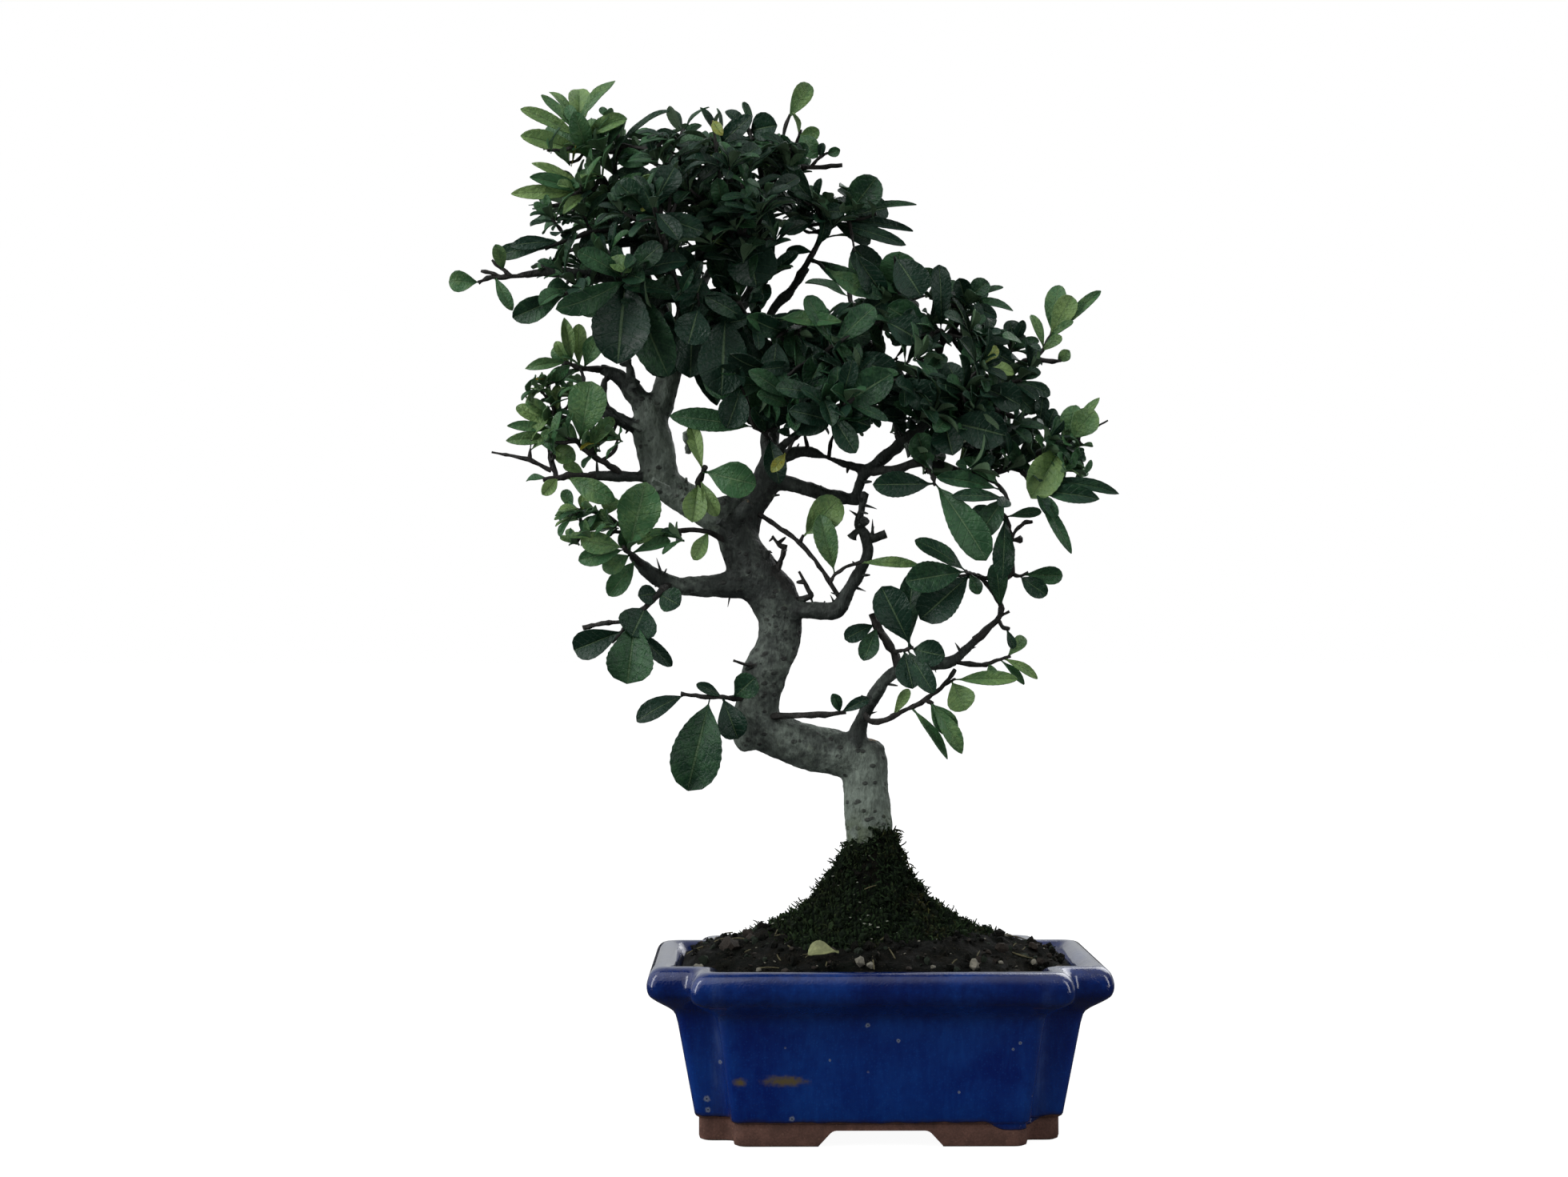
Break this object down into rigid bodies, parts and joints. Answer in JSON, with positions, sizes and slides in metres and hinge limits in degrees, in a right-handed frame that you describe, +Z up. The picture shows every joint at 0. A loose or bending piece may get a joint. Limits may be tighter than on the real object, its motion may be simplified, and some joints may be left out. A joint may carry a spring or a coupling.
{
  "type": "potted bonsai tree",
  "caption": "Small firethorn bonsai, its trunk bent to the left and back, dense small toothed leaves, on a mossy mound in a cobalt glazed notched pot",
  "frame": {"origin": "middle of the bottom of the whole object's box, level with the underside of the pot's feet", "axes": "+Z up along the trunk, +X to the right and -Y towards the viewer of the pot's front, +Y away from the viewer"},
  "size_m": [0.2938, 0.155, 0.4698],
  "materials": {
    "glaze": "deep cobalt glaze, glossy, lightly mottled, over an unglazed brown foot",
    "screen": "dark moulded mesh",
    "soil": "dark brown crumbly soil, matt",
    "moss": "fuzzy dark green and ochre moss",
    "bark": "grey bark with dark lenticels, matt",
    "leaf_dark": "dark blue-green leaf, satin",
    "leaf_fresh": "paler yellow-green leaf, satin",
    "leaf_dry": "fallen yellow leaf, matt"
  },
  "bodies": {
    "root": {"pot": "glaze", "drain_screen_left": "screen", "drain_screen_right": "screen", "soil": "soil", "moss": "moss", "wood": "bark", "fallen_leaf": "leaf_dry", "leafy_stem_01": "leaf_fresh", "leafy_stem_02": "leaf_fresh", "leafy_stem_03": "leaf_dark", "leafy_stem_04": "leaf_fresh", "leafy_stem_05": "leaf_dark", "leafy_stem_06": "leaf_dark", "leafy_stem_07": "leaf_dark", "leafy_stem_08": "leaf_dark", "leafy_stem_09": "leaf_dark", "leafy_stem_10": "leaf_dark", "leafy_stem_11": "leaf_dark", "leafy_stem_12": "leaf_dark", "leafy_stem_13": "leaf_dark", "leafy_stem_14": "leaf_fresh", "leafy_stem_15": "leaf_dark", "leafy_stem_16": "leaf_dark", "leafy_stem_17": "leaf_dark", "leafy_stem_18": "leaf_dark", "leafy_stem_19": "leaf_dark", "leafy_stem_20": "leaf_dark", "leafy_stem_21": "leaf_dark", "leafy_stem_22": "leaf_dark", "leafy_stem_23": "leaf_fresh", "leafy_stem_24": "leaf_fresh", "leafy_stem_25": "leaf_dark", "leafy_stem_26": "leaf_dark", "leafy_stem_27": "leaf_dark", "leafy_stem_28": "leaf_dark", "leafy_stem_29": "leaf_fresh", "leafy_stem_30": "leaf_dark", "leafy_stem_31": "leaf_dark", "leafy_stem_32": "leaf_dark", "leafy_stem_33": "leaf_fresh", "leafy_stem_34": "leaf_dark", "leafy_stem_35": "leaf_dark", "leafy_stem_36": "leaf_dark", "leafy_stem_37": "leaf_dark", "leafy_stem_38": "leaf_fresh", "leafy_stem_39": "leaf_dark", "leafy_stem_40": "leaf_fresh", "leafy_stem_41": "leaf_fresh", "leafy_stem_42": "leaf_dark", "leafy_stem_43": "leaf_dark", "leafy_stem_44": "leaf_dark", "leafy_stem_45": "leaf_fresh", "leafy_stem_46": "leaf_fresh", "leafy_stem_47": "leaf_fresh", "leafy_stem_48": "leaf_fresh", "leafy_stem_49": "leaf_dark", "leafy_stem_50": "leaf_dark", "leafy_stem_51": "leaf_dark", "leafy_stem_52": "leaf_dark"}
  },
  "joints": []
}
